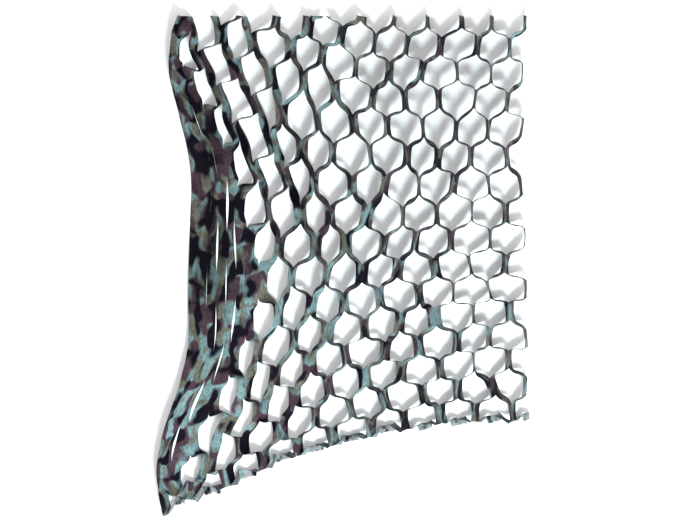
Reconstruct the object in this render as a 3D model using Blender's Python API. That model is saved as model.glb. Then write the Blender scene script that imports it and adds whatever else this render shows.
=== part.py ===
# Camouflage net. One thin printed sheet, cut with staggered rows of short slits and drawn open
# sideways, lying face up. The left side is gathered shut, the rest stands open as a honeycomb.
import math
from collections import namedtuple

import bmesh
import bpy

# Sheet, metres
STRIP = 0.019           # width of a strip between two lines of slits
BRIDGE = 0.035          # height of the uncut bridge between two slits of one line
ROW_FLAT = 0.084        # half the slit repeat, measured on the flat sheet
THICK = 0.0014
EDGE_LINE = -2          # left edge of the uncut selvedge, two strips left of line 0
LINES = 20              # slit lines 0 to 19, and the right edge on line 20
TOP_ROW = -2            # first row worked out, above the top trim
LAST_ROW = 14           # last full row of slits
END_ROW = 14.94         # bottom cut

# Drawn-open shape, metres
RIGHT_X = 0.353         # line 20 at the middle row
PITCH_OPEN = 0.0352     # distance between lines where the net stands open
MIDDLE_ROW = 7.0
MIDDLE_Y = 0.0475       # height up the sheet of the middle row, at line 20
MIDDLE_FALL = -0.0011   # per line to the left
ROW_UPPER = 0.0549      # open row distance above the middle
ROW_LOWER = 0.0480      # and below it
ROW_SHUT = 0.0880       # row distance far inside the gather
SHUT_LINE = 0.57        # lines right of the front where rows are half way between
SHUT_SOFT = 3.6
BOW_RIGHT, BOW_LINE = 0.0066, 0.0009      # lines bow to the right at top and bottom
LEAN_RIGHT, LEAN_LINE = 0.0042, -0.0011   # and lean
FRONT_LINE = 4.46       # the gather reaches this line at its widest
FRONT_ROW = 7.3
FRONT_FLAT = 1.95       # rows each way over which it keeps that width
FRONT_FALL = 1.21
FRONT_POWER = 1.3
FRONT_SOFT = 0.75
TOP_TRIM_Y = 0.491
LAST_LIFT = 0.0245      # the lowest cells are pressed flatter by this
FOOT_LIFT = 0.018       # the last two rows at the left are drawn up by this
EDGE_PITCH = 0.018      # widest the selvedge stands from line 0
PULL_ROW, PULL_ROWS = 4.5, 2.2  # rows where the net is pulled away from the gather, up and right
PULL_UP = 0.007
PULL_SHEAR = 0.015      # lines beside the gather are drawn up against those further right
PULL_RIGHT = 0.018
PULL_LEFT = 0.006       # the outermost shut line is drawn back by this
PULL_LINES = 5.0        # lines over which the pull fades
SHEAR_LINE, SHEAR_LINES = 1.0, 2.0      # lines from the gather where the shear turns over, and its reach
RIGHT_LINE, RIGHT_LINES = 2.2, 1.8      # the same for the pull to the right
LEFT_LINE, LEFT_LINES = -1.3, 1.0       # and for the pull to the left
MIDDLE_BLEND = 0.4      # rows over which the upper row distance gives way to the lower one
SPAN_ROWS = 7.0         # rows from the middle to the top or bottom
ROW_SUMS = 24           # steps in which the row distances are added up
FOOT_LINES = 7.0        # lines over which the drawn-up foot fades
FOOT_END = 0.8          # and the row below the last one where it stops

# Places where the net is drawn aside, metres
Nudge = namedtuple("Nudge", "line row right up lines rows")
NUDGES = (
    Nudge(line=7, row=1, right=0.000, up=0.014, lines=2.0, rows=1.2),
    Nudge(line=2, row=1, right=-0.006, up=-0.008, lines=2.0, rows=1.2),
    Nudge(line=3, row=11, right=0.012, up=0.0, lines=1.4, rows=1.0),
    Nudge(line=1, row=13, right=0.008, up=-0.004, lines=1.2, rows=1.0),
    Nudge(line=9, row=11, right=-0.006, up=0.0, lines=2.5, rows=1.5),
    Nudge(line=10, row=8, right=-0.010, up=0.0, lines=2.5, rows=1.0),
    Nudge(line=5, row=9, right=0.0, up=-0.010, lines=1.4, rows=1.0),
    Nudge(line=12, row=4, right=0.006, up=-0.003, lines=2.0, rows=1.5),
    Nudge(line=8, row=4, right=0.004, up=-0.005, lines=1.5, rows=1.0),
    Nudge(line=5.5, row=14.3, right=0.0, up=0.010, lines=2.0, rows=0.8),
    Nudge(line=15, row=7, right=-0.006, up=0.005, lines=1.5, rows=1.0),
    Nudge(line=18, row=12, right=0.0, up=0.007, lines=1.5, rows=1.0),
)

# Turn of the bridges about their own height, degrees
TURN_RIGHT = 72.0
TURN_LEFT = 50.0
TURN_FRONT = 10.0       # added beside the gather
TURN_RANDOM = 9.0
TURN_CORNER = 10.0      # taken off beside the gather towards its top and bottom
TURN_EDGE = 64.0        # selvedge at its top and bottom
TURN_MOST = 79.0
TURN_FOOT = (0.85, 0.45)                # share of their turn that the bridges of the last rows keep
GROW_LINE, GROW_LINES = 2.0, 12.0       # the turn grows to the right from this line, over so many
Ease = namedtuple("Ease", "line row lines rows turn")
EASES = (               # places where the bridges lie flatter than around them
    Ease(line=14, row=10.5, lines=5.0, rows=3.5, turn=20.0),
    Ease(line=3, row=12.0, lines=4.0, rows=2.5, turn=11.0),
)
EDGE_UP_ROWS, EDGE_UP = 2.0, 1.3        # the selvedge lies flat this far above the front row
EDGE_DOWN_ROWS, EDGE_DOWN = 4.6, -0.1   # and this far below it
LEAN_STEP = 0.2         # rows each way between which the lean of a line is found
OPEN_LINE, OPEN_ROW = 6, 8      # first open slit of a row: one line less for every row from here
FLAT_LINES = 2.5        # the swells run out over this many lines of the gather, which lies flat
SHIFT_RANDOM = 0.0042

# Lean of the bridges in plan beside the gather, degrees: to the right going down above its
# middle, to the left below it
SWAY_UPPER = 28.0
SWAY_LOWER = 16.0
SWAY_RANDOM = 8.0
SWAY_ROWS = 4.0         # rows from the middle over which it grows
UPPER_LINES = 3.0       # lines from the gather over which it fades, above the middle
LOWER_LINES = 1.0       # and below it
ZIP = 0.020             # the end of an open slit that lies in the gather is drawn shut this far

# Bridges that stand out from their neighbours: broad side up or set on edge, and some leaning,
# degrees, with a lean to the right going down above 0
Broad = namedtuple("Broad", "line row turn lean", defaults=(0.0,))
BROAD = (
    Broad(line=15, row=4, turn=60.0),
    Broad(line=11, row=4, turn=72.0),
    Broad(line=16, row=5, turn=60.0),
    Broad(line=14, row=5, turn=76.0),
    Broad(line=10, row=5, turn=56.0),
    Broad(line=15, row=6, turn=70.0),
    Broad(line=11, row=6, turn=45.0, lean=-6.0),
    Broad(line=16, row=7, turn=64.0),
    Broad(line=10, row=7, turn=48.0),
    Broad(line=17, row=8, turn=76.0, lean=14.0),
    Broad(line=13, row=8, turn=50.0),
    Broad(line=11, row=8, turn=46.0),
    Broad(line=16, row=9, turn=77.0),
    Broad(line=18, row=9, turn=76.0, lean=6.0),
    Broad(line=19, row=10, turn=55.0),
    Broad(line=17, row=10, turn=75.0),
    Broad(line=15, row=10, turn=38.0),
    Broad(line=9, row=10, turn=42.0),
    Broad(line=12, row=11, turn=52.0),
    Broad(line=8, row=11, turn=40.0),
    Broad(line=17, row=12, turn=78.0),
    Broad(line=13, row=12, turn=50.0),
    Broad(line=11, row=12, turn=42.0),
    Broad(line=9, row=12, turn=57.0, lean=8.0),
    Broad(line=5, row=12, turn=34.0),
    Broad(line=18, row=13, turn=50.0, lean=22.0),
    Broad(line=12, row=13, turn=52.0, lean=12.0),
    Broad(line=10, row=13, turn=64.0, lean=8.0),
    Broad(line=6, row=13, turn=32.0),
)

# Broad swells that lift the net off the ground, metres
Swell = namedtuple("Swell", "x y half_w half_h rise")
SWELLS = (
    Swell(x=0.170, y=0.260, half_w=0.250, half_h=0.250, rise=0.026),
    Swell(x=-0.120, y=0.300, half_w=0.200, half_h=0.210, rise=0.014),
    Swell(x=0.060, y=-0.020, half_w=0.240, half_h=0.200, rise=0.018),
)

# Shape of the sheet between its bridges, metres
PITCH_SLOPE = 0.02      # the lower end of a bridge stands higher by this share of its height
SLOPE_RANDOM = 0.05
BELLY_LEFT = 0.0058     # a strip is this much broader in its middle, seen from above
BELLY_RIGHT = 0.0075
BELLY_RANDOM = 0.0030
BELLY_LINES = 12.0      # lines over which the strips grow broader
STRIP_MIDDLE = 0.5      # share of the way from a strip's tip to its heel where it is broadest


def noise(a, b, c):
    v = math.sin(a * 12.9898 + b * 78.233 + c * 37.719) * 43758.5453
    return 2.0 * (v - math.floor(v)) - 1.0


def soft(u, width):
    return width * math.log1p(math.exp(u / width))


def mix(p, q, share):
    return tuple(a + (b - a) * share for a, b in zip(p, q))


def add(p, q, scale=1.0):
    return tuple(a + b * scale for a, b in zip(p, q))


def size(p):
    return math.sqrt(sum(a * a for a in p))


def unit(p):
    length = size(p)
    return tuple(a / length for a in p)


# ---- Where the slit lines run, seen from above

def front(row):
    far = max(0.0, abs(row - FRONT_ROW) - FRONT_FLAT)
    return FRONT_LINE - FRONT_FALL * far ** FRONT_POWER


def row_distance(line, row):
    low = 1.0 / (1.0 + math.exp(-(row - MIDDLE_ROW) / MIDDLE_BLEND))
    spread = ROW_UPPER + (ROW_LOWER - ROW_UPPER) * low
    shut = 1.0 / (1.0 + math.exp((line - front(row) - SHUT_LINE) / SHUT_SOFT))
    return spread + (ROW_SHUT - spread) * shut


def pull(line, row):
    """Shift of a point to the right and up where the net is pulled away from the gather's top."""
    d = line - OPEN_LINE + abs(row - OPEN_ROW)
    part = 1.0 / (1.0 + ((row - PULL_ROW) / PULL_ROWS) ** 4)
    shear = PULL_SHEAR * math.tanh((d - SHEAR_LINE) / SHEAR_LINES)
    up = (PULL_UP - shear) * math.exp(-((d - SHEAR_LINE) / PULL_LINES) ** 2)
    right = part * PULL_RIGHT * math.exp(-((d - RIGHT_LINE) / RIGHT_LINES) ** 2)
    return right - PULL_LEFT * math.exp(-((d - LEFT_LINE) / LEFT_LINES) ** 2), part * up


def spot(line, row):
    """Point of a slit line at a row."""
    if line == -1:
        x0, y0 = spot(0, row)
        x, y = spot(-0.999, row)
        share = min(1.0, EDGE_PITCH / (x0 - x))
        return x0 + (x - x0) * share, y0 + (y - y0) * share
    n = LINES - line
    far = (row - MIDDLE_ROW) / SPAN_ROWS
    x = RIGHT_X - PITCH_OPEN * n + (BOW_RIGHT + BOW_LINE * n) * far * far
    x += (LEAN_RIGHT + LEAN_LINE * n) * far
    x += (PITCH_OPEN - STRIP) * soft(front(row) - line, FRONT_SOFT)
    part = (row - MIDDLE_ROW) / ROW_SUMS
    run = sum(row_distance(line, MIDDLE_ROW + part * (i + 0.5)) for i in range(ROW_SUMS)) * part
    y = MIDDLE_Y + MIDDLE_FALL * n - run
    y += LAST_LIFT * max(0.0, row - LAST_ROW)
    foot = max(0.0, min(row, LAST_ROW + FOOT_END) - LAST_ROW + 1.0)
    y += FOOT_LIFT * foot * max(0.0, 1.0 - max(0.0, line) / FOOT_LINES)
    right, up = pull(line, row)
    for g in NUDGES:
        part = math.exp(-((line - g.line) / g.lines) ** 2 - ((row - g.row) / g.rows) ** 2)
        right += g.right * part
        up += g.up * part
    return x + right, y + up


def swell(x, y):
    rise = 0.0
    for s in SWELLS:
        d = math.hypot((x - s.x) / s.half_w, (y - s.y) / s.half_h)
        if d < 1.0:
            rise += s.rise * (0.5 + 0.5 * math.cos(math.pi * d))
    return rise


# ---- Bridges

def is_bridge_row(line, row):
    return (row - line) % 2 == 1


def first_open(row):
    return OPEN_LINE - abs(row - OPEN_ROW)


def openness(line, row):
    return min(1.0, max(0.0, (line - first_open(row) + 1.0) / 2.0))


def corner(line, row):
    """How far a bridge follows the slant of the gather's edge: 1 near its top, -1 near its bottom."""
    along = min(1.0, max(-1.0, (OPEN_ROW - row) / SWAY_ROWS))
    lines = UPPER_LINES if along > 0.0 else LOWER_LINES
    return along * math.exp(-max(0.0, line - first_open(row) - 1.0) / lines)


def sway(line, row):
    part = corner(line, row)
    deg = part * (SWAY_UPPER if part > 0.0 else SWAY_LOWER) + SWAY_RANDOM * noise(line, row, 9.0)
    deg += sum(b.lean for b in BROAD if (line, row) == (b.line, b.row))
    return math.radians(deg * openness(line, row))


def turn(line, row):
    for b in BROAD:
        if (line, row) == (b.line, b.row):
            return math.radians(b.turn)
    if line < 0:
        above = (FRONT_ROW - row) / EDGE_UP_ROWS - EDGE_UP
        below = (row - FRONT_ROW) / EDGE_DOWN_ROWS - EDGE_DOWN
        return math.radians(TURN_EDGE * min(1.0, max(0.0, above, below)))
    across = min(1.0, max(0.0, (line - GROW_LINE) / GROW_LINES))
    deg = TURN_LEFT + (TURN_RIGHT - TURN_LEFT) * across
    for e in EASES:
        deg -= e.turn * math.exp(-((line - e.line) / e.lines) ** 2 - ((row - e.row) / e.rows) ** 2)
    deg += TURN_FRONT * math.exp(-(line - first_open(row) - 1.0) ** 2)
    deg -= TURN_CORNER * abs(corner(line, row))
    deg += TURN_RANDOM * noise(line, row, 1.0)
    deg = min(TURN_MOST, deg)
    if row >= LAST_ROW:
        deg *= TURN_FOOT[min(row - LAST_ROW, 1)]
    return math.radians(deg * openness(line, row))


BRIDGES = {}


def bridge(line, row):
    """Centre, down direction and right half of a bridge."""
    if (line, row) not in BRIDGES:
        x, y = spot(line, row)
        x0, y0 = spot(line, row - LEAN_STEP)
        x1, y1 = spot(line, row + LEAN_STEP)
        lean = math.atan2(x1 - x0, y0 - y1) + sway(line, row)
        dx, dy = math.sin(lean), -math.cos(lean)
        a = turn(line, row)
        open_part = openness(line, row)
        x += SHIFT_RANDOM * open_part * noise(line, row, 2.0)
        y += SHIFT_RANDOM * open_part * noise(line, row, 3.0)
        slope = (PITCH_SLOPE + SLOPE_RANDOM * noise(line, row, 4.0)) * open_part
        half = (-dy * STRIP * math.cos(a), STRIP * (dx * math.cos(a) - slope * math.sin(a)),
                -STRIP * math.sin(a))
        lift = min(1.0, max(0.0, (line - first_open(row) + FLAT_LINES) / FLAT_LINES))
        z = THICK / 2 * math.cos(a) + STRIP * math.sin(a) + lift * swell(x, y)
        z += BRIDGE / 2 * abs(slope)
        BRIDGES[(line, row)] = ((x, y, z), (dx, dy, slope), half)
    return BRIDGES[(line, row)]


HALF_BRIDGE = BRIDGE / 2 / ROW_FLAT     # in rows
TINY = 1e-9
LAST_STEP = 0.02        # no mesh row is this close to the bottom cut, in rows


def on_bridge(line, v, side):
    """Point of a bridge at height v: side -1 left edge, 0 middle, 1 right edge."""
    row = round(v)
    middle, down, half = bridge(line, row)
    return add(add(middle, down, (v - row) * ROW_FLAT), half, side)


# ---- Edges of the strips

def slit_open(line, row):
    if not 0 <= line < LINES:
        return line == LINES
    return line >= first_open(row)


def slit_row(line, v):
    """Row on which the slit of a line at height v is centred, or None on a bridge."""
    row = round(v)
    if not is_bridge_row(line, row):
        return row
    if abs(v - row) <= HALF_BRIDGE + TINY:
        return None
    return row + 1 if v > row else row - 1


def joined(line, v):
    """Whether the sheet is whole across a line at height v."""
    if line < 0:
        return True
    row = slit_row(line, v)
    return row is None or not slit_open(line, row)


def inner(line, v):
    """Point on a line where the sheet is whole."""
    row = slit_row(line, v)
    if row is None:
        return on_bridge(line, v, 0.0)
    top = on_bridge(line, row - 1 + HALF_BRIDGE, 0.0)
    low = on_bridge(line, row + 1 - HALF_BRIDGE, 0.0)
    return mix(top, low, (v - (row - 1 + HALF_BRIDGE)) / (2.0 - 2.0 * HALF_BRIDGE))


def strip_end(line, row, end):
    """Where the strips part beyond a bridge, above (-1) or below (1) the slit's middle row."""
    tip = on_bridge(line, row + end * (1.0 - HALF_BRIDGE), 0.0)
    shut = ZIP * (1.0 - openness(line, row + end)) if line < LINES else 0.0
    return add(tip, bridge(line, row + end)[1], -end * shut)


def open_edge(line, side, v, row):
    """Edge of an open slit, which follows the bridge of the neighbouring line."""
    near = line + side
    if abs(v - row) <= HALF_BRIDGE + TINY:
        return on_bridge(near, v, -side)
    end = 1.0 if v > row else -1.0
    heel = on_bridge(near, row + end * HALF_BRIDGE, -side)
    tip = strip_end(line, row, end)
    chord = add(heel, tip, -1.0) if end < 0.0 else add(tip, heel, -1.0)
    point = mix(tip, heel, STRIP_MIDDLE)
    strip, level = (line if side > 0 else line - 1), math.floor(v)
    across = min(1.0, max(0.0, line / BELLY_LINES))
    belly = BELLY_LEFT + (BELLY_RIGHT - BELLY_LEFT) * across + BELLY_RANDOM * noise(strip, level, 6.0)
    over = unit((-chord[1], chord[0], 0.0))
    return add(point, over, -side * belly / 2)


def edge(line, side, v):
    """Edge of the strip that lies on that side of a line, at height v."""
    if joined(line, v):
        return inner(line, v)
    return open_edge(line, side, v, slit_row(line, v))


def strip_edges(strip, v):
    """Left and right edge points of a strip between lines strip and strip + 1."""
    right = edge(strip + 1, -1, v)
    if strip > EDGE_LINE:
        return edge(strip, 1, v), right
    row = 2 * math.floor(v / 2.0)
    half = mix(bridge(strip + 1, row)[2], bridge(strip + 1, row + 2)[2], v / 2.0 - row / 2)
    return add(right, half, -1.0), right


def heights():
    """Heights of the mesh rows, in rows of the net."""
    levels = []
    for row in range(TOP_ROW, LAST_ROW + 2):
        levels += [row - HALF_BRIDGE, row + HALF_BRIDGE, row + 0.5]
    return [v for v in levels if v < END_ROW - LAST_STEP] + [END_ROW]


def surface():
    """Middle surface of the sheet: points and four-cornered faces."""
    points, faces, index = [], [], {}

    def vertex(line, level, side, v, place):
        key = (line, level, 0) if joined(line, v) else (line, level, side)
        if key not in index:
            index[key] = len(points)
            points.append(place)
        return index[key]

    levels = heights()
    for strip in range(EDGE_LINE, LINES):
        rings = []
        for level, v in enumerate(levels):
            left, right = strip_edges(strip, v)
            rings.append((vertex(strip, level, 1, v, left), vertex(strip + 1, level, -1, v, right)))
        for upper, lower in zip(rings, rings[1:]):
            faces.append((upper[0], lower[0], lower[1], upper[1]))
    return points, faces


def build():
    points, faces = surface()
    mesh = bpy.data.meshes.new("net_middle")
    mesh.from_pydata(points, [], faces)
    work = bmesh.new()
    work.from_mesh(mesh)
    everything = work.verts[:] + work.edges[:] + work.faces[:]
    bmesh.ops.bisect_plane(work, geom=everything, dist=1e-5, plane_co=(0.0, TOP_TRIM_Y, 0.0),
                           plane_no=(0.0, 1.0, 0.0), clear_outer=True)
    bmesh.ops.triangulate(work, faces=work.faces[:])
    work.normal_update()
    work.verts.index_update()

    # Both sides of the sheet, half the thickness from its middle, and walls along every cut edge
    upper = [v.co + v.normal * (THICK / 2) for v in work.verts]
    lower = [v.co - v.normal * (THICK / 2) for v in work.verts]
    count = len(upper)
    coords = [(p.x, p.y, max(0.0, p.z)) for p in upper + lower]
    lo = [min(p[i] for p in coords) for i in range(3)]
    hi = [max(p[i] for p in coords) for i in range(3)]
    shift = ((lo[0] + hi[0]) / 2, (lo[1] + hi[1]) / 2, lo[2])
    coords = [(p[0] - shift[0], p[1] - shift[1], p[2] - shift[2]) for p in coords]
    skin = []
    for face in work.faces:
        ring = [v.index for v in face.verts]
        skin.append(ring)
        skin.append([i + count for i in reversed(ring)])
    for rim in work.edges:
        if len(rim.link_faces) == 1:
            loop = rim.link_loops[0]
            a, b = loop.vert.index, loop.link_loop_next.vert.index
            skin.append([b, a, a + count])
            skin.append([b, a + count, b + count])
    work.free()
    bpy.data.meshes.remove(mesh)
    net = bpy.data.meshes.new("net")
    net.from_pydata(coords, [], skin)
    net.validate()
    net.update()
    obj = bpy.data.objects.new("net", net)
    bpy.context.scene.collection.objects.link(obj)
    film = bpy.data.materials.new("printed_film")
    film.use_nodes = True
    shader = film.node_tree.nodes["Principled BSDF"]
    shader.inputs["Base Color"].default_value = (0.085, 0.11, 0.085, 1.0)
    shader.inputs["Roughness"].default_value = 0.55
    net.materials.append(film)


for old in list(bpy.data.objects):
    bpy.data.objects.remove(old, do_unlink=True)
build()
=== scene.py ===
# Camouflage net, the looks. One thin printed film, cut with staggered rows of short slits and
# drawn open sideways, lies face up on a pale floor. Its left side is gathered shut, the rest
# stands open as a honeycomb of narrow strips.
import math
from collections import namedtuple

import bmesh
import bpy
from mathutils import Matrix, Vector


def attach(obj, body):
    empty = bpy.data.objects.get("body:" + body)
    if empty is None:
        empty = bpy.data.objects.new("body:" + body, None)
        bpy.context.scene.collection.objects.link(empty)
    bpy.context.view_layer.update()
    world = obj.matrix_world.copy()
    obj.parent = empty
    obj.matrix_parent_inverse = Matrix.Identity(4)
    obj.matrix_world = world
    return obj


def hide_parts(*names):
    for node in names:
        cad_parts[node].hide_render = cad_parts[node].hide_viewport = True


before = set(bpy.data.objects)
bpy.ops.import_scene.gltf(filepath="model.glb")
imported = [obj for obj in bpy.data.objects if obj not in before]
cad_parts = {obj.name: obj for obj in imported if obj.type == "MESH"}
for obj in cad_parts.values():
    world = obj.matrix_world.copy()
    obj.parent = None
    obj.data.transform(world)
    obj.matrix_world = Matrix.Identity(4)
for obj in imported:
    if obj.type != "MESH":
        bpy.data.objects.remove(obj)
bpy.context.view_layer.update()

# Sheet, metres
STRIP = 0.019           # width of a strip between two lines of slits
BRIDGE = 0.035          # height of the uncut bridge between two slits of one line
ROW_FLAT = 0.084        # half the slit repeat, measured on the flat sheet
FILM = 0.0010           # thickness that shows
EDGE_LINE = -2          # left edge of the uncut selvedge, two strips left of line 0
LINES = 20              # slit lines 0 to 19, and the right edge on line 20
TOP_ROW = -2            # first row worked out, above the top trim
LAST_ROW = 14           # last full row of slits
END_ROW = 14.94         # bottom cut
END_RAGGED = 0.08       # how far it strays, in rows
END_MEAN, END_NOISE = 0.4, 0.6    # shares of that which are even and which change from place to place
END_EVEN, END_LINES = 0.3, 10.0   # share of it left at the right, and lines over which it drops
CENTRE_X, CENTRE_Y = -0.00535, -0.00584     # centre of the net's box where line 20 is at RIGHT_X

# Drawn-open shape, metres
RIGHT_X = 0.353         # line 20 at the middle row
PITCH_OPEN = 0.0352     # distance between lines where the net stands open
MIDDLE_ROW = 7.0
MIDDLE_Y = 0.0475       # height up the sheet of the middle row, at line 20
MIDDLE_FALL = -0.0011   # per line to the left
ROW_UPPER = 0.0549      # open row distance above the middle
ROW_LOWER = 0.0480      # and below it
ROW_SHUT = 0.0880       # row distance far inside the gather
SHUT_LINE = 0.57        # lines right of the front where rows are half way between
SHUT_SOFT = 3.6
BOW_RIGHT, BOW_LINE = 0.0066, 0.0009      # lines bow to the right at top and bottom
LEAN_RIGHT, LEAN_LINE = 0.0042, -0.0011   # and lean
FRONT_LINE = 4.46       # the gather reaches this line at its widest
FRONT_ROW = 7.3
FRONT_FLAT = 1.95       # rows each way over which it keeps that width
FRONT_FALL = 1.21
FRONT_POWER = 1.3
FRONT_SOFT = 0.75
TOP_TRIM_Y = 0.491
LAST_LIFT = 0.0245      # the lowest cells are pressed flatter by this
FOOT_LIFT = 0.018       # the last two rows at the left are drawn up by this
EDGE_PITCH = 0.018      # widest the selvedge stands from line 0
PULL_ROW, PULL_ROWS = 4.5, 2.2  # rows where the net is pulled away from the gather, up and right
PULL_UP = 0.007
PULL_SHEAR = 0.015      # lines beside the gather are drawn up against those further right
PULL_RIGHT = 0.018
PULL_LEFT = 0.006       # the outermost shut line is drawn back by this
PULL_LINES = 5.0        # lines over which the pull fades
SHEAR_LINE, SHEAR_LINES = 1.0, 2.0      # lines from the gather where the shear turns over, and its reach
RIGHT_LINE, RIGHT_LINES = 2.2, 1.8      # the same for the pull to the right
LEFT_LINE, LEFT_LINES = -1.3, 1.0       # and for the pull to the left
MIDDLE_BLEND = 0.4      # rows over which the upper row distance gives way to the lower one
SPAN_ROWS = 7.0         # rows from the middle to the top or bottom
ROW_SUMS = 24           # steps in which the row distances are added up
FOOT_LINES = 7.0        # lines over which the drawn-up foot fades
FOOT_END = 0.8          # and the row below the last one where it stops

# Places where the net is drawn aside, metres
Nudge = namedtuple("Nudge", "line row right up lines rows")
NUDGES = (
    Nudge(line=7, row=1, right=0.000, up=0.014, lines=2.0, rows=1.2),
    Nudge(line=2, row=1, right=-0.006, up=-0.008, lines=2.0, rows=1.2),
    Nudge(line=3, row=11, right=0.012, up=0.0, lines=1.4, rows=1.0),
    Nudge(line=1, row=13, right=0.008, up=-0.004, lines=1.2, rows=1.0),
    Nudge(line=9, row=11, right=-0.006, up=0.0, lines=2.5, rows=1.5),
    Nudge(line=10, row=8, right=-0.010, up=0.0, lines=2.5, rows=1.0),
    Nudge(line=5, row=9, right=0.0, up=-0.010, lines=1.4, rows=1.0),
    Nudge(line=12, row=4, right=0.006, up=-0.003, lines=2.0, rows=1.5),
    Nudge(line=8, row=4, right=0.004, up=-0.005, lines=1.5, rows=1.0),
    Nudge(line=5.5, row=14.3, right=0.0, up=0.010, lines=2.0, rows=0.8),
    Nudge(line=15, row=7, right=-0.006, up=0.005, lines=1.5, rows=1.0),
    Nudge(line=18, row=12, right=0.0, up=0.007, lines=1.5, rows=1.0),
)

# Turn of the bridges about their own height, degrees
TURN_RIGHT = 72.0
TURN_LEFT = 50.0
TURN_FRONT = 10.0       # added beside the gather
TURN_RANDOM = 9.0
TURN_CORNER = 10.0      # taken off beside the gather towards its top and bottom
TURN_EDGE = 64.0        # selvedge at its top and bottom
TURN_MOST = 79.0
TURN_FOOT = (0.85, 0.45)                # share of their turn that the bridges of the last rows keep
GROW_LINE, GROW_LINES = 2.0, 12.0       # the turn grows to the right from this line, over so many
Ease = namedtuple("Ease", "line row lines rows turn")
EASES = (               # places where the bridges lie flatter than around them
    Ease(line=14, row=10.5, lines=5.0, rows=3.5, turn=20.0),
    Ease(line=3, row=12.0, lines=4.0, rows=2.5, turn=11.0),
)
EDGE_UP_ROWS, EDGE_UP = 2.0, 1.3        # the selvedge lies flat this far above the front row
EDGE_DOWN_ROWS, EDGE_DOWN = 4.6, -0.1   # and this far below it
LEAN_STEP = 0.2         # rows each way between which the lean of a line is found
OPEN_LINE, OPEN_ROW = 6, 8      # first open slit of a row: one line less for every row from here
FLAT_LINES = 2.5        # the swells run out over this many lines of the gather, which lies flat
SHIFT_RANDOM = 0.0042

# Lean of the bridges in plan beside the gather, degrees: to the right going down above its
# middle, to the left below it
SWAY_UPPER = 28.0
SWAY_LOWER = 16.0
SWAY_RANDOM = 8.0
SWAY_ROWS = 4.0         # rows from the middle over which it grows
UPPER_LINES = 3.0       # lines from the gather over which it fades, above the middle
LOWER_LINES = 1.0       # and below it
ZIP = 0.020             # the end of an open slit that lies in the gather is drawn shut this far

# Bridges that stand out from their neighbours: broad side up or set on edge, and some leaning,
# degrees, with a lean to the right going down above 0
Broad = namedtuple("Broad", "line row turn lean", defaults=(0.0,))
BROAD = (
    Broad(line=15, row=4, turn=60.0),
    Broad(line=11, row=4, turn=72.0),
    Broad(line=16, row=5, turn=60.0),
    Broad(line=14, row=5, turn=76.0),
    Broad(line=10, row=5, turn=56.0),
    Broad(line=15, row=6, turn=70.0),
    Broad(line=11, row=6, turn=45.0, lean=-6.0),
    Broad(line=16, row=7, turn=64.0),
    Broad(line=10, row=7, turn=48.0),
    Broad(line=17, row=8, turn=76.0, lean=14.0),
    Broad(line=13, row=8, turn=50.0),
    Broad(line=11, row=8, turn=46.0),
    Broad(line=16, row=9, turn=77.0),
    Broad(line=18, row=9, turn=76.0, lean=6.0),
    Broad(line=19, row=10, turn=55.0),
    Broad(line=17, row=10, turn=75.0),
    Broad(line=15, row=10, turn=38.0),
    Broad(line=9, row=10, turn=42.0),
    Broad(line=12, row=11, turn=52.0),
    Broad(line=8, row=11, turn=40.0),
    Broad(line=17, row=12, turn=78.0),
    Broad(line=13, row=12, turn=50.0),
    Broad(line=11, row=12, turn=42.0),
    Broad(line=9, row=12, turn=57.0, lean=8.0),
    Broad(line=5, row=12, turn=34.0),
    Broad(line=18, row=13, turn=50.0, lean=22.0),
    Broad(line=12, row=13, turn=52.0, lean=12.0),
    Broad(line=10, row=13, turn=64.0, lean=8.0),
    Broad(line=6, row=13, turn=32.0),
)

# Broad swells that lift the net off the ground, metres
Swell = namedtuple("Swell", "x y half_w half_h rise")
SWELLS = (
    Swell(x=0.170, y=0.260, half_w=0.250, half_h=0.250, rise=0.026),
    Swell(x=-0.120, y=0.300, half_w=0.200, half_h=0.210, rise=0.014),
    Swell(x=0.060, y=-0.020, half_w=0.240, half_h=0.200, rise=0.018),
)

# Soft shape of the film between its bridges, metres
PITCH_SLOPE = 0.02      # the lower end of a bridge stands higher by this share of its height
SLOPE_RANDOM = 0.05
TIP_TURN = 0.92         # how far a strip turns at once at the tip of a slit, 0 to 1
HEEL_TURN = 0.22        # and at the outer edge of the bridge, where it bends softly
CURVE = 1.00            # length of the bend at a strip's ends, in strip lengths
BELLY_LEFT = 0.0058     # a strip is this much broader in its middle, seen from above
BELLY_RIGHT = 0.0075
BELLY_RANDOM = 0.0030
BELLY_LINES = 12.0      # lines over which the strips grow broader
BELLY_POWER = 1.4       # how fast the breadth drops towards the strip's ends
CURL = 0.0012           # rise of a strip's middle over its two edges
CURL_STRIPS, CURL_ROWS = 3.7, 1.7       # how fast it changes from strip to strip and along a strip
CRINKLE = 0.0007
CRINKLE_WIDE, CRINKLE_LONG = 0.009, 0.016
END_CRINKLE = 0.0030    # the film is crumpled this much more at its bottom cut
END_CRUMPLED = 0.40     # fading over these rows
SLIT_GAPE = 0.0007      # a slit that is drawn shut still gapes this far, more or less
GAPE_RANDOM = 0.0005

# Slits in the gather that gape wider, metres
Gape = namedtuple("Gape", "line row width")
GAPES = (
    Gape(line=3, row=7, width=0.0034),
    Gape(line=1, row=7, width=0.0040),
    Gape(line=2, row=6, width=0.0050),
    Gape(line=2, row=8, width=0.0024),
    Gape(line=1, row=9, width=0.0024),
    Gape(line=3, row=9, width=0.0042),
    Gape(line=2, row=10, width=0.0030),
    Gape(line=1, row=11, width=0.0060),
    Gape(line=0, row=12, width=0.0050),
)

BRIDGE_STEPS = 4        # mesh rows over a bridge
STRIP_STEPS = 9         # and over the free strip between two bridges
ACROSS = 4              # mesh columns over a strip
TRIM_MERGE = 1e-5       # points this near the top trim are taken as on it
SMOOTH_DEG = 50.0       # edges sharper than this stay sharp


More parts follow.
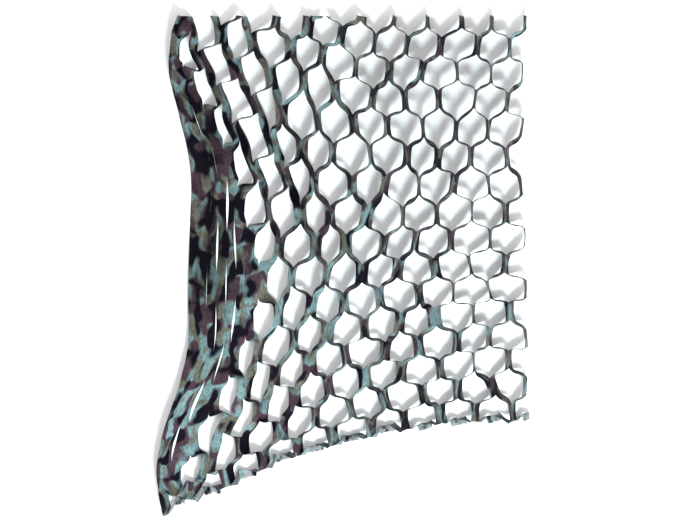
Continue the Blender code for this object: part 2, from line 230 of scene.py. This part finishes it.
def noise(a, b, c):
    """Fixed scatter from -1 to 1 over a and b, where c picks the pattern."""
    v = math.sin(a * 12.9898 + b * 78.233 + c * 37.719) * 43758.5453
    return 2.0 * (v - math.floor(v)) - 1.0


def soft_noise(a, b, c):
    """Noise that changes smoothly with a and b."""
    a0, b0 = math.floor(a), math.floor(b)
    s, t = a - a0, b - b0
    s, t = s * s * (3.0 - 2.0 * s), t * t * (3.0 - 2.0 * t)
    top = noise(a0, b0, c) * (1.0 - s) + noise(a0 + 1, b0, c) * s
    low = noise(a0, b0 + 1, c) * (1.0 - s) + noise(a0 + 1, b0 + 1, c) * s
    return top * (1.0 - t) + low * t


def soft(u, width):
    """Nothing below 0 and u above it, with a bend of this width between."""
    return width * math.log1p(math.exp(u / width))


def mix(p, q, share):
    return tuple(a + (b - a) * share for a, b in zip(p, q))


def add(p, q, scale=1.0):
    return tuple(a + b * scale for a, b in zip(p, q))


def size(p):
    return math.sqrt(sum(a * a for a in p))


def unit(p):
    length = size(p)
    return tuple(a / length for a in p)


# ---- Where the slit lines run, seen from above

def front(row):
    """Line up to which the slits of a row are drawn shut."""
    far = max(0.0, abs(row - FRONT_ROW) - FRONT_FLAT)
    return FRONT_LINE - FRONT_FALL * far ** FRONT_POWER


def row_distance(line, row):
    """Distance to the next row, which is shorter the further the slits stand open."""
    low = 1.0 / (1.0 + math.exp(-(row - MIDDLE_ROW) / MIDDLE_BLEND))
    spread = ROW_UPPER + (ROW_LOWER - ROW_UPPER) * low
    shut = 1.0 / (1.0 + math.exp((line - front(row) - SHUT_LINE) / SHUT_SOFT))
    return spread + (ROW_SHUT - spread) * shut


def pull(line, row):
    """Shift of a point to the right and up where the net is pulled away from the gather's top."""
    d = line - OPEN_LINE + abs(row - OPEN_ROW)
    part = 1.0 / (1.0 + ((row - PULL_ROW) / PULL_ROWS) ** 4)
    shear = PULL_SHEAR * math.tanh((d - SHEAR_LINE) / SHEAR_LINES)
    up = (PULL_UP - shear) * math.exp(-((d - SHEAR_LINE) / PULL_LINES) ** 2)
    right = part * PULL_RIGHT * math.exp(-((d - RIGHT_LINE) / RIGHT_LINES) ** 2)
    return right - PULL_LEFT * math.exp(-((d - LEFT_LINE) / LEFT_LINES) ** 2), part * up


def spot(line, row):
    """Point of a slit line at a row."""
    if line == -1:
        x0, y0 = spot(0, row)
        x, y = spot(-0.999, row)
        share = min(1.0, EDGE_PITCH / (x0 - x))
        return x0 + (x - x0) * share, y0 + (y - y0) * share
    n = LINES - line
    far = (row - MIDDLE_ROW) / SPAN_ROWS
    x = RIGHT_X - PITCH_OPEN * n + (BOW_RIGHT + BOW_LINE * n) * far * far
    x += (LEAN_RIGHT + LEAN_LINE * n) * far
    x += (PITCH_OPEN - STRIP) * soft(front(row) - line, FRONT_SOFT)
    part = (row - MIDDLE_ROW) / ROW_SUMS
    run = sum(row_distance(line, MIDDLE_ROW + part * (i + 0.5)) for i in range(ROW_SUMS)) * part
    y = MIDDLE_Y + MIDDLE_FALL * n - run
    y += LAST_LIFT * max(0.0, row - LAST_ROW)
    foot = max(0.0, min(row, LAST_ROW + FOOT_END) - LAST_ROW + 1.0)
    y += FOOT_LIFT * foot * max(0.0, 1.0 - max(0.0, line) / FOOT_LINES)
    right, up = pull(line, row)
    for g in NUDGES:
        part = math.exp(-((line - g.line) / g.lines) ** 2 - ((row - g.row) / g.rows) ** 2)
        right += g.right * part
        up += g.up * part
    return x + right, y + up


def swell(x, y):
    """How far the net is lifted off the floor."""
    rise = 0.0
    for s in SWELLS:
        d = math.hypot((x - s.x) / s.half_w, (y - s.y) / s.half_h)
        if d < 1.0:
            rise += s.rise * (0.5 + 0.5 * math.cos(math.pi * d))
    return rise


# ---- Bridges

def is_bridge_row(line, row):
    return (row - line) % 2 == 1


def first_open(row):
    return OPEN_LINE - abs(row - OPEN_ROW)


def openness(line, row):
    """How far a bridge takes part in the open side: 0 in the gather, 1 outside it."""
    return min(1.0, max(0.0, (line - first_open(row) + 1.0) / 2.0))


def corner(line, row):
    """How far a bridge follows the slant of the gather's edge: 1 near its top, -1 near its bottom."""
    along = min(1.0, max(-1.0, (OPEN_ROW - row) / SWAY_ROWS))
    lines = UPPER_LINES if along > 0.0 else LOWER_LINES
    return along * math.exp(-max(0.0, line - first_open(row) - 1.0) / lines)


def sway(line, row):
    """Lean of a bridge in plan."""
    part = corner(line, row)
    deg = part * (SWAY_UPPER if part > 0.0 else SWAY_LOWER) + SWAY_RANDOM * noise(line, row, 9.0)
    deg += sum(b.lean for b in BROAD if (line, row) == (b.line, b.row))
    return math.radians(deg * openness(line, row))


def turn(line, row):
    """Turn of a bridge about its own height."""
    for b in BROAD:
        if (line, row) == (b.line, b.row):
            return math.radians(b.turn)
    if line < 0:
        above = (FRONT_ROW - row) / EDGE_UP_ROWS - EDGE_UP
        below = (row - FRONT_ROW) / EDGE_DOWN_ROWS - EDGE_DOWN
        return math.radians(TURN_EDGE * min(1.0, max(0.0, above, below)))
    across = min(1.0, max(0.0, (line - GROW_LINE) / GROW_LINES))
    deg = TURN_LEFT + (TURN_RIGHT - TURN_LEFT) * across
    for e in EASES:
        deg -= e.turn * math.exp(-((line - e.line) / e.lines) ** 2 - ((row - e.row) / e.rows) ** 2)
    deg += TURN_FRONT * math.exp(-(line - first_open(row) - 1.0) ** 2)
    deg -= TURN_CORNER * abs(corner(line, row))
    deg += TURN_RANDOM * noise(line, row, 1.0)
    deg = min(TURN_MOST, deg)
    if row >= LAST_ROW:
        deg *= TURN_FOOT[min(row - LAST_ROW, 1)]
    return math.radians(deg * openness(line, row))


BRIDGES = {}


def bridge(line, row):
    """Centre, down direction and right half of a bridge."""
    if (line, row) not in BRIDGES:
        x, y = spot(line, row)
        x0, y0 = spot(line, row - LEAN_STEP)
        x1, y1 = spot(line, row + LEAN_STEP)
        lean = math.atan2(x1 - x0, y0 - y1) + sway(line, row)
        dx, dy = math.sin(lean), -math.cos(lean)
        a = turn(line, row)
        open_part = openness(line, row)
        x += SHIFT_RANDOM * open_part * noise(line, row, 2.0)
        y += SHIFT_RANDOM * open_part * noise(line, row, 3.0)
        slope = (PITCH_SLOPE + SLOPE_RANDOM * noise(line, row, 4.0)) * open_part
        half = (-dy * STRIP * math.cos(a), STRIP * (dx * math.cos(a) - slope * math.sin(a)),
                -STRIP * math.sin(a))
        lift = min(1.0, max(0.0, (line - first_open(row) + FLAT_LINES) / FLAT_LINES))
        z = FILM / 2 + STRIP * math.sin(a) + lift * swell(x, y)
        z += BRIDGE / 2 * abs(slope)
        BRIDGES[(line, row)] = ((x, y, z), (dx, dy, slope), half)
    return BRIDGES[(line, row)]


HALF_BRIDGE = BRIDGE / 2 / ROW_FLAT     # in rows
TINY = 1e-9


def on_bridge(line, v, side):
    """Point of a bridge at height v: side -1 left edge, 0 middle, 1 right edge."""
    row = round(v)
    middle, down, half = bridge(line, row)
    return add(add(middle, down, (v - row) * ROW_FLAT), half, side)


def bend(start, end, start_way, end_way):
    """Smooth curve from start to end that leaves and arrives along the two ways."""
    def point(t):
        a = (1.0 + 2.0 * t) * (1.0 - t) ** 2
        b = t * (1.0 - t) ** 2
        c = t * t * (3.0 - 2.0 * t)
        d = t * t * (t - 1.0)
        return tuple(a * p + b * u + c * q + d * w
                     for p, u, q, w in zip(start, start_way, end, end_way))
    return point


def way(down, chord, share):
    """Direction between down the bridge and along the strip, as long as the strip."""
    length = size(chord)
    return tuple(a * length * CURVE for a in unit(mix(unit(down), unit(chord), share)))


# ---- Edges of the strips

def slit_open(line, row):
    if not 0 <= line < LINES:
        return line == LINES
    return line >= first_open(row)


def slit_row(line, v):
    """Row on which the slit of a line at height v is centred, or None on a bridge."""
    row = round(v)
    if not is_bridge_row(line, row):
        return row
    if abs(v - row) <= HALF_BRIDGE + TINY:
        return None
    return row + 1 if v > row else row - 1


def shut_edge(line, side, v, row):
    """Edge of a slit that is drawn shut, or of the uncut selvedge where line is under 0."""
    above, below = bridge(line, row - 1), bridge(line, row + 1)
    start, end = on_bridge(line, row - 1 + HALF_BRIDGE, 0.0), on_bridge(line, row + 1 - HALF_BRIDGE, 0.0)
    chord = add(end, start, -1.0)
    t = (v - (row - 1 + HALF_BRIDGE)) / (2.0 - 2.0 * HALF_BRIDGE)
    length = size(chord)
    point = bend(start, end, [a * length for a in unit(above[1])],
                 [a * length for a in unit(below[1])])(t)
    if line < 0:
        return point
    gape = SLIT_GAPE + GAPE_RANDOM * noise(line, row, 5.0)
    for g in GAPES:
        if (line, row) == (g.line, g.row):
            gape = g.width
    across = unit((-chord[1], chord[0], 0.0))
    return add(point, across, side * gape / 2 * math.sin(math.pi * t) ** 2)


def zipped(line, row):
    """How far the slit beyond this bridge is drawn shut, in rows."""
    return ZIP / ROW_FLAT * (1.0 - openness(line, row)) if line < LINES else 0.0


def seam(line, side, row, below, share):
    """Edge of the shut end of an open slit, this far from its bridge; below is 1 or -1."""
    middle, down, half = bridge(line, row)
    run = BRIDGE / 2 + share * ROW_FLAT
    gap = share * ROW_FLAT / ZIP * SLIT_GAPE / 2
    return add(add(middle, down, below * run), unit(half), side * gap)


def open_edge(line, side, v, row):
    """Edge of an open slit, which follows the bridge of the neighbouring line."""
    near = line + side
    heel_up = on_bridge(near, row - HALF_BRIDGE, -side)
    heel_low = on_bridge(near, row + HALF_BRIDGE, -side)
    tip_up = on_bridge(line, row - 1 + HALF_BRIDGE, 0.0)
    tip_low = on_bridge(line, row + 1 - HALF_BRIDGE, 0.0)
    chord_up, chord_low = add(heel_up, tip_up, -1.0), add(tip_low, heel_low, -1.0)
    down = bridge(near, row)[1]
    heel_way_up, heel_way_low = way(down, chord_up, HEEL_TURN), way(down, chord_low, HEEL_TURN)
    if abs(v - row) <= HALF_BRIDGE:
        t = (v - row + HALF_BRIDGE) / (2.0 * HALF_BRIDGE)
        first = [a * BRIDGE for a in unit(heel_way_up)]
        last = [a * BRIDGE for a in unit(heel_way_low)]
        return bend(heel_up, heel_low, first, last)(t)
    free = 1.0 - 2.0 * HALF_BRIDGE
    if v < row:
        t = (v - (row - 1 + HALF_BRIDGE)) / free
        shut = zipped(line, row - 1) / free
        if t < shut:
            return seam(line, side, row - 1, 1.0, t * free)
        start = seam(line, side, row - 1, 1.0, shut * free)
        chord = add(heel_up, start, -1.0)
        t = (t - shut) / (1.0 - shut)
        tip_way = way(bridge(line, row - 1)[1], chord, TIP_TURN)
        point = bend(start, heel_up, tip_way, heel_way_up)(t)
    else:
        t = (v - (row + HALF_BRIDGE)) / free
        shut = zipped(line, row + 1) / free
        if t > 1.0 - shut:
            return seam(line, side, row + 1, -1.0, (1.0 - t) * free)
        end = seam(line, side, row + 1, -1.0, shut * free)
        chord = add(end, heel_low, -1.0)
        t = t / (1.0 - shut)
        tip_way = way(bridge(line, row + 1)[1], chord, TIP_TURN)
        point = bend(heel_low, end, heel_way_low, tip_way)(t)
    strip, level = (line if side > 0 else line - 1), math.floor(v)
    across = min(1.0, max(0.0, line / BELLY_LINES))
    belly = BELLY_LEFT + (BELLY_RIGHT - BELLY_LEFT) * across + BELLY_RANDOM * noise(strip, level, 6.0)
    over = unit((-chord[1], chord[0], 0.0))
    return add(point, over, -side * belly / 2 * math.sin(math.pi * t) ** BELLY_POWER)


def edge(line, side, v):
    """Edge of the strip that lies on that side of a line, at height v."""
    row = slit_row(line, v)
    if row is None:
        return on_bridge(line, v, 0.0)
    if slit_open(line, row):
        return open_edge(line, side, v, row)
    return shut_edge(line, side, v, row)


def strip_edges(strip, v):
    """Left and right edge points of a strip between lines strip and strip + 1."""
    right = edge(strip + 1, -1, v)
    if strip > EDGE_LINE:
        return edge(strip, 1, v), right
    row = 2 * math.floor(v / 2.0)
    half = mix(bridge(strip + 1, row)[2], bridge(strip + 1, row + 2)[2], v / 2.0 - row / 2)
    return add(right, half, -1.0), right


def heights():
    """Heights of the mesh rows, in rows of the net."""
    levels = []
    for row in range(TOP_ROW, LAST_ROW + 2):
        for i in range(BRIDGE_STEPS):
            levels.append(row - HALF_BRIDGE + 2.0 * HALF_BRIDGE * i / BRIDGE_STEPS)
        for i in range(STRIP_STEPS):
            levels.append(row + HALF_BRIDGE + (1.0 - 2.0 * HALF_BRIDGE) * i / STRIP_STEPS)
    return [v for v in levels if v < END_ROW - END_RAGGED] + [END_ROW]


def whole(line, v):
    """Whether the film is uncut across a line at height v."""
    return line < 0 or slit_row(line, v) is None


def film_surface():
    """Middle surface of the film: points, faces and the flat place of every face corner."""
    points, faces, flats, index = [], [], [], {}
    levels = heights()

    def vertex(strip, level, v, column, place):
        line = strip + (column == ACROSS)
        inner = 0 < column < ACROSS
        if inner:
            key = (strip, level, column, "in")
        elif whole(line, v):
            key = (line, level, 0, "line")
        else:
            key = (line, level, 1 if column == 0 else -1, "line")
        if key not in index:
            index[key] = len(points)
            points.append(place)
        return index[key]

    for strip in range(EDGE_LINE, LINES):
        ragged = END_RAGGED * max(END_EVEN, 1.0 - strip / END_LINES)
        rings = []
        for level, v in enumerate(levels):
            ring = []
            for column in range(ACROSS + 1):
                if level == len(levels) - 1:
                    stray = END_MEAN + END_NOISE * noise(strip + column / ACROSS, 0.0, 10.0)
                    v = END_ROW + ragged * stray
                left, right = strip_edges(strip, v)
                place = mix(left, right, column / ACROSS)
                ring.append(vertex(strip, level, v, column, place))
            rings.append(ring)
        for level in range(len(levels) - 1):
            for column in range(ACROSS):
                upper, lower = rings[level], rings[level + 1]
                faces.append((upper[column], lower[column], lower[column + 1], upper[column + 1]))
                x0 = (strip - EDGE_LINE + column / ACROSS) * STRIP
                x1 = x0 + STRIP / ACROSS
                y0, y1 = -levels[level] * ROW_FLAT, -levels[level + 1] * ROW_FLAT
                flats.append(((x0, y0), (x0, y1), (x1, y1), (x1, y0)))
    return points, faces, flats


def crumple(work, flat):
    """Curl of every strip and small crinkles, along the film's normals."""
    work.normal_update()
    moves = []
    for vert in work.verts:
        x, y = vert.link_loops[0][flat].uv
        strip = math.floor(x / STRIP)
        part = x / STRIP - strip
        row = -y / ROW_FLAT
        curl = CURL * soft_noise(strip * CURL_STRIPS, row * CURL_ROWS, 7.0)
        rise = curl * 4.0 * part * (1.0 - part)
        crinkle = CRINKLE + END_CRINKLE * max(0.0, 1.0 - (END_ROW - row) / END_CRUMPLED)
        rise += crinkle * soft_noise(x / CRINKLE_WIDE, y / CRINKLE_LONG, 8.0)
        moves.append(vert.normal * rise)
    for vert, move in zip(work.verts, moves):
        vert.co += move


def make_net():
    points, faces, flats = film_surface()
    mesh = bpy.data.meshes.new("net_film")
    mesh.from_pydata(points, [], faces)
    uv = mesh.uv_layers.new(name="flat")
    corner = 0
    for places in flats:
        for place in places:
            uv.data[corner].uv = place
            corner += 1
    work = bmesh.new()
    work.from_mesh(mesh)
    flat = work.loops.layers.uv["flat"]
    crumple(work, flat)
    everything = work.verts[:] + work.edges[:] + work.faces[:]
    bmesh.ops.bisect_plane(work, geom=everything, dist=TRIM_MERGE, clear_outer=True,
                           plane_co=(0.0, TOP_TRIM_Y, 0.0), plane_no=(0.0, 1.0, 0.0))
    bmesh.ops.translate(work, verts=work.verts, vec=(-CENTRE_X, -CENTRE_Y, 0.0))
    for vert in work.verts:
        vert.co.z = max(vert.co.z, FILM / 2)
    work.to_mesh(mesh)
    work.free()
    net = bpy.data.objects.new("net_film", mesh)
    bpy.context.scene.collection.objects.link(net)
    return net


def finish_film(net, face, back):
    net.data.materials.append(face)
    net.data.materials.append(back)
    bpy.ops.object.select_all(action="DESELECT")
    bpy.context.view_layer.objects.active = net
    net.select_set(True)
    thick = net.modifiers.new("thickness", "SOLIDIFY")
    thick.thickness = FILM
    thick.offset = 0.0
    thick.use_even_offset = False
    thick.material_offset = 1
    thick.material_offset_rim = 0
    bpy.ops.object.modifier_apply(modifier=thick.name)
    bpy.ops.object.shade_smooth_by_angle(angle=math.radians(SMOOTH_DEG))


# ---- Materials

BLACK = (0.0038, 0.0024, 0.0064, 1.0)
BROWN = (0.048, 0.027, 0.037, 1.0)
OLIVE = (0.103, 0.098, 0.076, 1.0)
GREEN = (0.129, 0.191, 0.198, 1.0)
PALE = (0.50, 0.53, 0.55, 1.0)
PALE_SHARE = 0.15       # of the pale colour that the back shows, the rest is the print shining through
FILM_ROUGHNESS, FILM_GLOSS = 0.42, 0.05

# Smooth noise on the flat sheet: width and height of its bumps in metres, where it starts, and how
# much finer noise lies on it
Grain = namedtuple("Grain", "width height start detail", defaults=(0.0,))
START_DOWN = 2.3        # it starts this many times further down than across
NOISE_LOW, NOISE_HIGH = 0.3, 0.7        # nearly all of it lies between these

# Print, laid down one colour after another over the green in upright patches
Patch = namedtuple("Patch", "colour level grain")
PATCHES = (
    Patch(OLIVE, level=0.505, grain=Grain(width=0.021, height=0.038, start=0.0, detail=0.5)),
    Patch(BROWN, level=0.530, grain=Grain(width=0.019, height=0.040, start=5.7, detail=0.5)),
    Patch(BLACK, level=0.535, grain=Grain(width=0.022, height=0.044, start=7.9, detail=0.5)),
)
PATCH_EDGE = 0.045      # half the width of a patch's soft edge, in noise levels
WARP = Grain(width=0.030, height=0.030, start=1.9)      # bends in the patch outlines
WARP_ACROSS, WARP_DOWN = 0.008, 0.024
FADE = Grain(width=0.060, height=0.060, start=4.4, detail=2.0)      # paler and darker areas
FADE_LOW, FADE_HIGH = 0.66, 1.26
MOTTLE = Grain(width=0.0035, height=0.0070, start=6.2, detail=1.0)  # fine unevenness of the ink
MOTTLE_LOW, MOTTLE_HIGH = 0.72, 1.28

# Parts of the flat sheet, in metres, where the colour is made paler or darker by this share, and the
# print's patches are larger or smaller by this much of noise level.
# The first four paint light and shade: painted shade over the upper gather, painted light over the lower
# part of the net. The last four are bridges that lie broad side up and show mostly green
Shade = namedtuple("Shade", "x y width height level more")
SHADES = (
    Shade(x=0.050, y=-0.58, width=0.078, height=0.33, level=-0.55, more=0.045),
    Shade(x=0.065, y=-0.97, width=0.105, height=0.34, level=0.13, more=-0.050),
    Shade(x=0.160, y=-0.74, width=0.110, height=0.18, level=0.30, more=-0.045),
    Shade(x=0.330, y=-1.02, width=0.200, height=0.26, level=0.20, more=-0.020),
    Shade(x=0.340, y=-0.47, width=0.180, height=0.52, level=0.0, more=0.056),
    Shade(x=0.247, y=-0.51, width=0.030, height=0.052, level=0.05, more=-0.16),
    Shade(x=0.323, y=-0.84, width=0.032, height=0.050, level=0.0, more=-0.17),
    Shade(x=0.399, y=-0.84, width=0.028, height=0.050, level=0.05, more=-0.15),
    Shade(x=0.247, y=-1.01, width=0.030, height=0.050, level=0.05, more=-0.15),
)
SHEEN_AND_WEAR_REACH = 0.030          # the film is paler in spots this far above its bottom cut: painted sheen on the crumpled film, and rubbed wear
SHEEN_AND_WEAR = Grain(width=0.012, height=0.012, start=3.3, detail=1.0)
SHEEN_AND_WEAR_LOW, SHEEN_AND_WEAR_HIGH, SHEEN_AND_WEAR_MOST = 0.36, 0.56, 0.50
WRINKLE = Grain(width=0.006, height=0.018, start=8.1, detail=3.0)
WRINKLE_DEPTH = 0.0005
WEAVE = Grain(width=0.0011, height=0.0011, start=2.7)
WEAVE_DEPTH = 0.00006


def add_node(tree, kind, inputs=None, **settings):
    """A new node with its settings made, its plain inputs set and its links drawn."""
    node = tree.nodes.new(kind)
    for name, value in settings.items():
        setattr(node, name, value)
    for name, value in (inputs or {}).items():
        if isinstance(value, bpy.types.NodeSocket):
            tree.links.new(value, node.inputs[name])
        else:
            node.inputs[name].default_value = value
    return node


def soft_field(tree, place, grain):
    """Smooth noise at a place of the flat sheet."""
    start = grain.start
    scaled = add_node(tree, "ShaderNodeVectorMath",
                      {0: place, 1: (1 / grain.width, 1 / grain.height, 1.0),
                       2: (start, START_DOWN * start, start)}, operation="MULTIPLY_ADD")
    return add_node(tree, "ShaderNodeTexNoise", {"Vector": scaled.outputs[0], "Scale": 1.0,
                                                 "Detail": grain.detail})


def spread_out(tree, field, low, high):
    """Noise brought to the range from low to high."""
    return add_node(tree, "ShaderNodeMapRange", {"Value": field.outputs["Fac"],
                                                 "From Min": NOISE_LOW, "From Max": NOISE_HIGH,
                                                 "To Min": low, "To Max": high}).outputs["Result"]


def glow(tree, place, x, y, width, height):
    """One at a point of the flat sheet, fading to nothing at an ellipse around it."""
    near = add_node(tree, "ShaderNodeVectorMath", {0: place, 1: (1 / width, 1 / height, 0.0),
                                                   2: (-x / width, -y / height, 0.0)},
                    operation="MULTIPLY_ADD")
    far = add_node(tree, "ShaderNodeVectorMath", {0: near.outputs[0]}, operation="LENGTH")
    return add_node(tree, "ShaderNodeMapRange", {"Value": far.outputs["Value"], "From Min": 1.0,
                                                 "From Max": 0.0},
                    interpolation_type="SMOOTHSTEP").outputs["Result"]


def film_material(name, pale):
    material = bpy.data.materials.new(name)
    material.use_nodes = True
    tree = material.node_tree
    shader = tree.nodes["Principled BSDF"]
    place = add_node(tree, "ShaderNodeUVMap", uv_map="flat").outputs["UV"]

    warp = soft_field(tree, place, WARP)
    centred = add_node(tree, "ShaderNodeVectorMath", {0: warp.outputs["Color"], 1: (0.5, 0.5, 0.5)},
                       operation="SUBTRACT")
    moved = add_node(tree, "ShaderNodeVectorMath", {0: centred.outputs[0],
                                                    1: (2 * WARP_ACROSS, 2 * WARP_DOWN, 0.0),
                                                    2: place}, operation="MULTIPLY_ADD")
    level = spread_out(tree, soft_field(tree, place, FADE), FADE_LOW, FADE_HIGH)
    more = 0.0
    # the first four shades add painted shade and painted light to the level, the others mostly change
    # the print's patches
    for s in SHADES:
        part = glow(tree, place, s.x, s.y, s.width, s.height)
        level = add_node(tree, "ShaderNodeMath", {0: part, 1: s.level, 2: level},
                         operation="MULTIPLY_ADD").outputs[0]
        more = add_node(tree, "ShaderNodeMath", {0: part, 1: s.more, 2: more},
                        operation="MULTIPLY_ADD").outputs[0]
    colour = GREEN
    for patch in PATCHES:
        field = soft_field(tree, moved.outputs[0], patch.grain)
        grown = add_node(tree, "ShaderNodeMath", {0: field.outputs["Fac"], 1: more},
                         operation="ADD")
        sharp = add_node(tree, "ShaderNodeMapRange", {"Value": grown.outputs[0],
                                                      "From Min": patch.level - PATCH_EDGE,
                                                      "From Max": patch.level + PATCH_EDGE})
        colour = add_node(tree, "ShaderNodeMix", {"Factor": sharp.outputs["Result"], "A": colour,
                                                  "B": patch.colour},
                          data_type="RGBA").outputs["Result"]

    spots = spread_out(tree, soft_field(tree, place, MOTTLE), MOTTLE_LOW, MOTTLE_HIGH)
    level = add_node(tree, "ShaderNodeMath", {0: level, 1: spots}, operation="MULTIPLY")
    colour = add_node(tree, "ShaderNodeVectorMath", {0: colour, "Scale": level.outputs[0]},
                      operation="SCALE").outputs[0]
    down = add_node(tree, "ShaderNodeSeparateXYZ", {"Vector": place}).outputs["Y"]
    # painted sheen and wear: the colour is mixed towards the pale one in spots near the bottom cut
    near_cut = add_node(tree, "ShaderNodeMapRange", {"Value": down,
                                                     "From Min": SHEEN_AND_WEAR_REACH - END_ROW * ROW_FLAT,
                                                     "From Max": -END_ROW * ROW_FLAT})
    sheen_and_wear = add_node(tree, "ShaderNodeMapRange",
                      {"Value": soft_field(tree, place, SHEEN_AND_WEAR).outputs["Fac"],
                       "From Min": SHEEN_AND_WEAR_LOW, "From Max": SHEEN_AND_WEAR_HIGH, "To Max": SHEEN_AND_WEAR_MOST})
    sheen_and_wear = add_node(tree, "ShaderNodeMath", {0: near_cut.outputs["Result"],
                                               1: sheen_and_wear.outputs["Result"]}, operation="MULTIPLY")
    colour = add_node(tree, "ShaderNodeMix", {"Factor": sheen_and_wear.outputs[0], "A": colour, "B": PALE},
                      data_type="RGBA").outputs["Result"]
    if pale:
        colour = add_node(tree, "ShaderNodeMix", {"Factor": PALE_SHARE, "A": colour, "B": PALE},
                          data_type="RGBA").outputs["Result"]
    tree.links.new(colour, shader.inputs["Base Color"])

    wrinkle = soft_field(tree, place, WRINKLE)
    weave = soft_field(tree, place, WEAVE)
    crinkled = add_node(tree, "ShaderNodeBump", {"Height": wrinkle.outputs["Fac"],
                                                 "Distance": WRINKLE_DEPTH})
    woven = add_node(tree, "ShaderNodeBump", {"Height": weave.outputs["Fac"],
                                              "Distance": WEAVE_DEPTH,
                                              "Normal": crinkled.outputs["Normal"]})
    tree.links.new(woven.outputs["Normal"], shader.inputs["Normal"])
    shader.inputs["Roughness"].default_value = FILM_ROUGHNESS
    shader.inputs["Specular IOR Level"].default_value = FILM_GLOSS
    return material


# ---- Floor, light and camera, metres and watts

FLOOR_SIZE = 14.0
FLOOR_DROP = 0.0002     # below the net
FLOOR_COLOUR = (0.94, 0.93, 0.94, 1.0)
FLOOR_ROUGHNESS, FLOOR_GLOSS = 0.9, 0.1
SKY_COLOUR = (0.976, 0.979, 0.977, 1.0)
SKY_STRENGTH = 1.0
LAMP_PLACE = (0.45, -1.98, 2.2)         # a round soft lamp below and right of the net
LAMP_SIZE = 0.9
LAMP_POWER = 126.0
LAMP_COLOUR = (0.806, 0.986, 1.0)
CAMERA_PLACE = (0.01135, 0.01084, 4.5)
SEEN_WIDTH = 1.4        # width of floor in view
SENSOR_WIDTH = 36.0     # millimetres


def make_floor():
    bpy.ops.mesh.primitive_plane_add(size=FLOOR_SIZE, location=(0.0, 0.0, -FLOOR_DROP))
    floor = bpy.context.object
    floor.name = "floor"
    plain = bpy.data.materials.new("floor")
    plain.use_nodes = True
    shader = plain.node_tree.nodes["Principled BSDF"]
    shader.inputs["Base Color"].default_value = FLOOR_COLOUR
    shader.inputs["Roughness"].default_value = FLOOR_ROUGHNESS
    shader.inputs["Specular IOR Level"].default_value = FLOOR_GLOSS
    floor.data.materials.append(plain)


def make_light():
    world = bpy.data.worlds.new("studio")
    world.use_nodes = True
    sky = world.node_tree.nodes["Background"]
    sky.inputs["Color"].default_value = SKY_COLOUR
    sky.inputs["Strength"].default_value = SKY_STRENGTH
    bpy.context.scene.world = world
    place = Vector(LAMP_PLACE)
    bpy.ops.object.light_add(type="AREA", location=place)
    key = bpy.context.object
    key.name = "key"
    key.data.shape = "DISK"
    key.data.size = LAMP_SIZE
    key.data.energy = LAMP_POWER
    key.data.color = LAMP_COLOUR
    key.rotation_euler = (-place).to_track_quat("-Z", "Y").to_euler()
    key.visible_camera = False


def make_camera():
    bpy.ops.object.camera_add(location=CAMERA_PLACE)
    camera = bpy.context.object
    camera.data.sensor_width = SENSOR_WIDTH
    camera.data.lens = SENSOR_WIDTH * CAMERA_PLACE[2] / SEEN_WIDTH
    bpy.context.scene.camera = camera


bpy.ops.object.select_all(action="DESELECT")
net = make_net()
finish_film(net, film_material("printed_face", False), film_material("pale_back", True))
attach(net, "root")
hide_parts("net")
make_floor()
make_light()
make_camera()
bpy.context.scene.view_settings.view_transform = "Standard"
